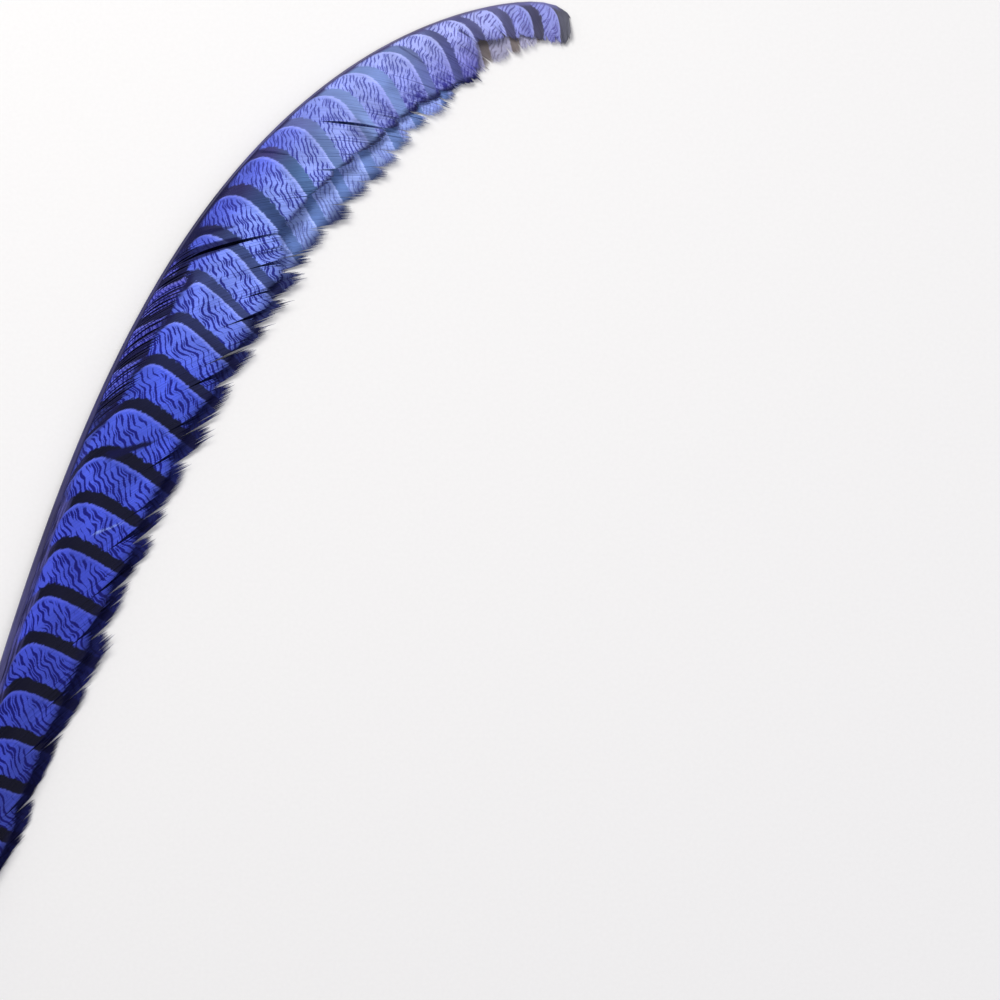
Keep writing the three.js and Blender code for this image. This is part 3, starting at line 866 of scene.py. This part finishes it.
# the shaft and the quill
shaft = {
    "sides": 14,
    "quillSteps": (0, 0.6, 1.6, 3, 5, 8, 12, 16),  # the stations of its first rings
    "step": 5.0,  # between the rings from the next on
    "quillSwell": (7.0, 60),  # how soon the quill is full, and where that ends
    "groove": (0.12, 0.5, 30, 90),  # depth in radii, half width in radians, begins, full
    "bakeStrip": (4, 140, 145),  # how many, and the shaft's and the map's length in one
    "colours": [
        (0.0, "#c2bcd0"), (0.12, "#8d86ae"), (0.28, "#4c4a7a"), (0.4, "#474573"), (0.46, "#38355a"),
        (0.5, "#3e3c6a"), (0.56, "#363463"), (0.63, "#383664"), (0.71, "#2c2a50"), (0.75, "#45437a"),
        (0.81, "#423f6f"), (0.84, "#4e4873"), (0.895, "#595379"), (0.918, "#656186"), (0.943, "#6e6a94"),
        (0.964, "#67648a"), (0.982, "#7a7ab4"), (1.0, "#6a6876")],
}


def shaftMaterial():
    # Horny keratin, scraped clean and dyed: smooth with a low gloss, paler where the quill is hollow.
    material, tree, surface = newMaterial("dyed quill horn")
    add = partial(addNode, tree)
    plan = add("SeparateXYZ", add("Attribute", attribute_name="plan").node.outputs["Vector"]).node.outputs
    along = add("Math", plan["X"], feather["length"], operation="DIVIDE")
    streak = add("CombineXYZ", add("Math", plan["X"], 0.06, operation="MULTIPLY"), plan["Y"])
    grain = add("TexNoise", ("Vector", streak), ("Scale", 2.2), ("Detail", 3.0))
    grain = add("Math", grain, 0.5, operation="SUBTRACT")
    contrast = add("MapRange", plan["X"], 60.0, 230.0, 0.35, 2.0)  # weak on the quill
    grain = add("Math", grain, contrast, 1.0, operation="MULTIPLY_ADD")
    colour = add("ValToRGB", along, stops=shaft["colours"])
    colour = add("HueSaturation", ("Color", colour), ("Value", grain))
    tree.links.new(colour, surface.inputs["Base Color"])
    surface.inputs["Roughness"].default_value = 0.38
    surface.inputs["Specular IOR Level"].default_value = 0.3
    return material


def setRing(ring, planLayer, angles, station):
    # moves a ring to its station and notes where it is for the material
    radius = float(sizeAt(feather["shaftRadius"], station))
    pace, end = shaft["quillSwell"]
    if station < end:
        thin, full = feather["shaftRadius"][0][1], feather["shaftRadius"][3][1]
        radius = full - (full - thin) * math.exp(-station / pace)
    depth, wide, begins, isFull = shaft["groove"]
    across = radius + radius * np.sin(angles)
    groove = depth * np.exp(-((angles - math.pi) / wide) ** 2) * float(ease(begins, isFull, station))
    height = radius + radius * np.cos(angles) * (1 - groove)
    for vert, point, angle in zip(ring, place(np.full(len(angles), station), across, height), angles):
        vert.co = point
        vert[planLayer] = (station, angle * radius, 0)


def mapShaft(form, planLayer, bakeMap):
    # the bake map holds the shaft in strips side by side
    strips, inStrip, mapped = shaft["bakeStrip"]
    for face in form.faces:
        face.smooth = True
        around = [loop.vert[planLayer].y for loop in face.loops]
        for loop in face.loops:
            station, angle = loop.vert[planLayer].x, loop.vert[planLayer].y
            radius = float(sizeAt(feather["shaftRadius"], station))
            turn = angle / radius / (2 * math.pi)
            if max(around) / radius > 5 and turn < 0.1 and len(face.verts) == 4:
                turn = 1.0  # the last side closes at the strip's far edge
            strip = int(min(station, strips * inStrip - 0.1) // inStrip)
            along = (station - strip * inStrip) / mapped + 0.01
            loop[bakeMap].uv = ((strip + turn * 0.9 + 0.05) / strips, along)

        # a face between two strips stays whole, in the first of them
        found = [int(loop[bakeMap].uv.x * strips) for loop in face.loops]
        for loop, strip in zip(face.loops, found):
            if strip > min(found):
                loop[bakeMap].uv.x -= 1 / strips
                loop[bakeMap].uv.y += inStrip / mapped


def makeShaft():
    # a ring of the quill's end is drawn out along the feather's line, and both ends are closed
    sides = shaft["sides"]
    length = feather["length"]
    stations = np.concatenate([shaft["quillSteps"], np.arange(20, length, shaft["step"]),
                               [length - 1.2, length]])
    angles = np.arange(sides) * 2 * math.pi / sides
    form = bmesh.new()
    bakeMap = form.loops.layers.uv.new("OFBake")
    planLayer = form.verts.layers.float_vector.new("plan")
    ring = bmesh.ops.create_circle(form, segments=sides, radius=1.0)["verts"]
    ring = sorted(ring, key=lambda v: math.atan2(v.co.y, v.co.x) % (2 * math.pi))
    setRing(ring, planLayer, angles, float(stations[0]))
    firstRing = ring
    for station in stations[1:]:
        edges = [form.edges.get((ring[i], ring[(i + 1) % sides])) for i in range(sides)]
        drawn = bmesh.ops.extrude_edge_only(form, edges=edges)["geom"]
        fresh = [item for item in drawn if isinstance(item, bmesh.types.BMVert)]
        order = {}
        for vert in fresh:
            for edge in vert.link_edges:
                before = edge.other_vert(vert)
                if before in ring:
                    order[ring.index(before)] = vert
        ring = [order[i] for i in range(sides)]
        setRing(ring, planLayer, angles, float(station))
    bmesh.ops.contextual_create(form, geom=firstRing)
    bmesh.ops.contextual_create(form, geom=ring)
    bmesh.ops.recalc_face_normals(form, faces=form.faces)
    mapShaft(form, planLayer, bakeMap)
    mesh = bpy.data.meshes.new("shaft")
    form.to_mesh(mesh)
    form.free()
    piece = bpy.data.objects.new("shaft", mesh)
    bpy.context.collection.objects.link(piece)
    finishPiece(piece, shaftMaterial())
    print(f"shaft: {len(mesh.polygons)} faces")


makeShaft()

# the down at the foot of the vanes
down = {
    "from": 44, "to": 104, "length": 26.0,
    "lengths": (0.72, 1.0),  # the shortest and the longest against that
    "outerSide": 0.7,  # and those past the shaft's outer side
    "rise": (0.3, 6.0),
    "lean": 0.2,
    "lowest": (0.25, 0.2),
    "barbs": 150,
    "barbulesPerBarb": 118,
    "barbuleLength": (1.6, 4.4),
    "rings": (14, 4),  # along each barb and each barbule
    "thickness": (0.16, 0.07),  # of the barbs and the barbules, a little coarser than real
    "colours": [(0.0, "#414cb0"), (0.5, "#626dcc"), (1.0, "#959ee6")],
}


def downMaterial():
    # Downy barbules scatter light like cotton wool, which makes the dye look paler.
    material, tree, surface = newMaterial("dyed down")
    marks = addNode(tree, "Attribute", attribute_name="marks").node.outputs["Vector"]
    own = addNode(tree, "SeparateXYZ", marks).node.outputs["Z"]
    colour = addNode(tree, "ValToRGB", own, stops=down["colours"])
    tree.links.new(colour, surface.inputs["Base Color"])
    surface.inputs["Roughness"].default_value = 0.8
    surface.inputs["Specular IOR Level"].default_value = 0.2
    surface.inputs["Sheen Weight"].default_value = 0.3
    return material


def drawDownBarbs():
    # the barbs stand along both sides of the shaft, some low along the table and some raised
    count = down["barbs"]
    shares = np.linspace(0, 1, down["rings"][0])
    number = np.arange(count)[:, None]
    side = np.where(number % 2, 1.0, -1.0)
    roots = down["from"] + (down["to"] - down["from"]) * (number + chance.uniform(-1, 1, (count, 1))) / count
    reach = down["length"] * chance.uniform(*down["lengths"], (count, 1))
    reach = reach * np.where(side > 0, 1, down["outerSide"])
    rise = chance.uniform(*down["rise"], (count, 1))
    lean = chance.normal(0, down["lean"], (count, 1))
    radius = sizeAt(feather["shaftRadius"], roots)
    wave = shares * np.sin(shares * chance.uniform(4, 9, (count, 1)) + chance.uniform(0, 6, (count, 1)))
    station = roots + reach * ((0.35 + lean) * shares + 0.5 * shares ** 2) + 0.9 * wave
    across = radius + side * (radius * 0.8 + reach * (0.62 - 0.5 * lean) * shares) - 0.6 * side * wave
    height = 0.8 * radius + 1.1 + rise * shares * (1.6 - shares) + 0.5 * wave
    return place(station, across, np.maximum(height, down["lowest"][0]))


def drawBarbules(paths):
    # barbules branch from the barbs all round, but mostly to their two sides
    count, per = down["barbs"], down["barbulesPerBarb"]
    barbRings, barbuleRings = down["rings"]
    number = np.arange(count)[:, None]
    spots = np.sort(chance.uniform(0.05, 0.999, (count, per)), axis=1)
    ring = np.floor(spots * (barbRings - 1)).astype(int)
    within = (spots * (barbRings - 1) - ring)[..., None]
    foot = paths[number, ring] * (1 - within) + paths[number, ring + 1] * within
    ahead = paths[number, ring + 1] - paths[number, ring]
    ahead /= np.linalg.norm(ahead, axis=-1, keepdims=True)
    sideways = np.cross(ahead, (0, 0, 1))
    sideways /= np.linalg.norm(sideways, axis=-1, keepdims=True)
    turn = (chance.normal(0, 0.7, (count, per)) + math.pi * chance.integers(0, 2, (count, per)))[..., None]
    outward = np.cos(turn) * sideways + np.sin(turn) * np.cross(sideways, ahead)
    size = chance.uniform(*down["barbuleLength"], (count, per)) * (1 - 0.45 * spots) * millimetre
    run = np.linspace(0, 1, barbuleRings)[:, None]
    curl = np.sin(run * 4.5 + chance.uniform(0, 6, (count, per, 1, 1))) * run
    fibres = foot[:, :, None] + size[..., None, None] * (
        outward[:, :, None] * run * (1.05 - 0.3 * run) + ahead[:, :, None] * (0.25 * run + 0.4 * run ** 2)
        + np.cross(ahead, outward)[:, :, None] * 0.16 * curl)
    fibres[..., 2] = np.maximum(fibres[..., 2], down["lowest"][1] * millimetre)
    return fibres


def makeDown():
    paths = drawDownBarbs()
    fibres = drawBarbules(paths)
    material = downMaterial()
    barbThickness, barbuleThickness = down["thickness"]
    parts = (("down_barbs", paths, barbThickness, 4),
             ("down_barbules_left", np.concatenate(fibres[0::2]), barbuleThickness, 12),
             ("down_barbules_right", np.concatenate(fibres[1::2]), barbuleThickness, 12))
    for name, strands, thickness, columns in parts:
        up = np.zeros_like(strands)
        up[..., 2] = 1.0
        even = np.ones((len(strands), 1))
        half = thickness / 2 * (1 - 0.7 * np.linspace(0, 1, strands.shape[1])) * even * millimetre
        own = chance.random(len(strands))[:, None] * np.ones((1, strands.shape[1]))
        notes = {"marks": np.stack([own * 0, own * 0, own], -1)}
        finishPiece(joinStrands(name, strands, up, half, half * 1.2, notes, columns), material)


makeDown()
